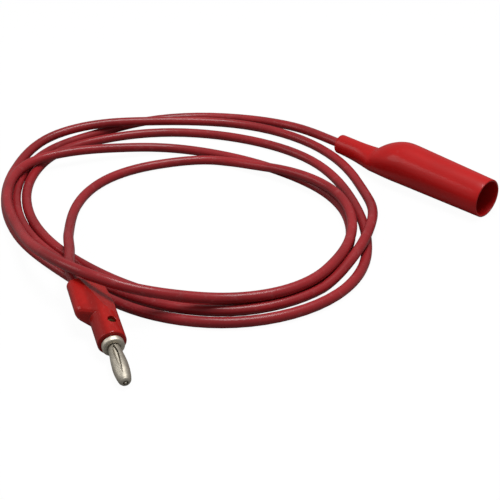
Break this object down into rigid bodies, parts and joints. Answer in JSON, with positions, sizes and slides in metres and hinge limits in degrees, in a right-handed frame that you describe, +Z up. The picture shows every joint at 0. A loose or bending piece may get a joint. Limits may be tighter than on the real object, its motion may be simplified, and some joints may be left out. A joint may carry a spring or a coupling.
{
  "type": "banana plug patch cord",
  "caption": "Red test lead coiled in loose turns, with a side-entry banana plug at one end and a booted alligator clip at the other.",
  "frame": {"origin": "on the floor, below the middle of the box round the plug, the clip and its boot, without the cord", "axes": "+X from the boot's neck to its mouth, along the clip; +Y across the coil from the plug to the clip; +Z up"},
  "size_m": [0.1602, 0.1671, 0.0167],
  "materials": {
    "cord_red": "satin",
    "moulded_red": "gloss",
    "boot_red": "satin",
    "nickel_plate": "bright",
    "plated_steel": "bright",
    "dark_brass": "dull",
    "copper_strands": "bright"
  },
  "bodies": {
    "lead": {"cord": "cord_red", "plug_body": "moulded_red", "plug_core": "nickel_plate", "contact_spring": "nickel_plate", "clamp_screw": "dark_brass", "plug_conductor": "copper_strands", "clip_boot": "boot_red", "clip_lower_jaw": "plated_steel", "clip_pivot": "plated_steel", "clip_spring": "plated_steel", "clip_screw": "plated_steel", "clip_conductor": "copper_strands"},
    "upper_jaw": {"clip_upper_jaw": "plated_steel"}
  },
  "joints": [
    {"name": "jaw_hinge", "type": "hinge", "parent": "lead", "child": "upper_jaw", "pos_m": [0.0024, 0.07538, 0.0073], "axis": [0, -1, 0], "range_deg": [0, 11], "stiffness_Nm_per_rad": 0.05, "springref_deg": -17.19, "deforming": ["clip_spring"]}
  ]
}
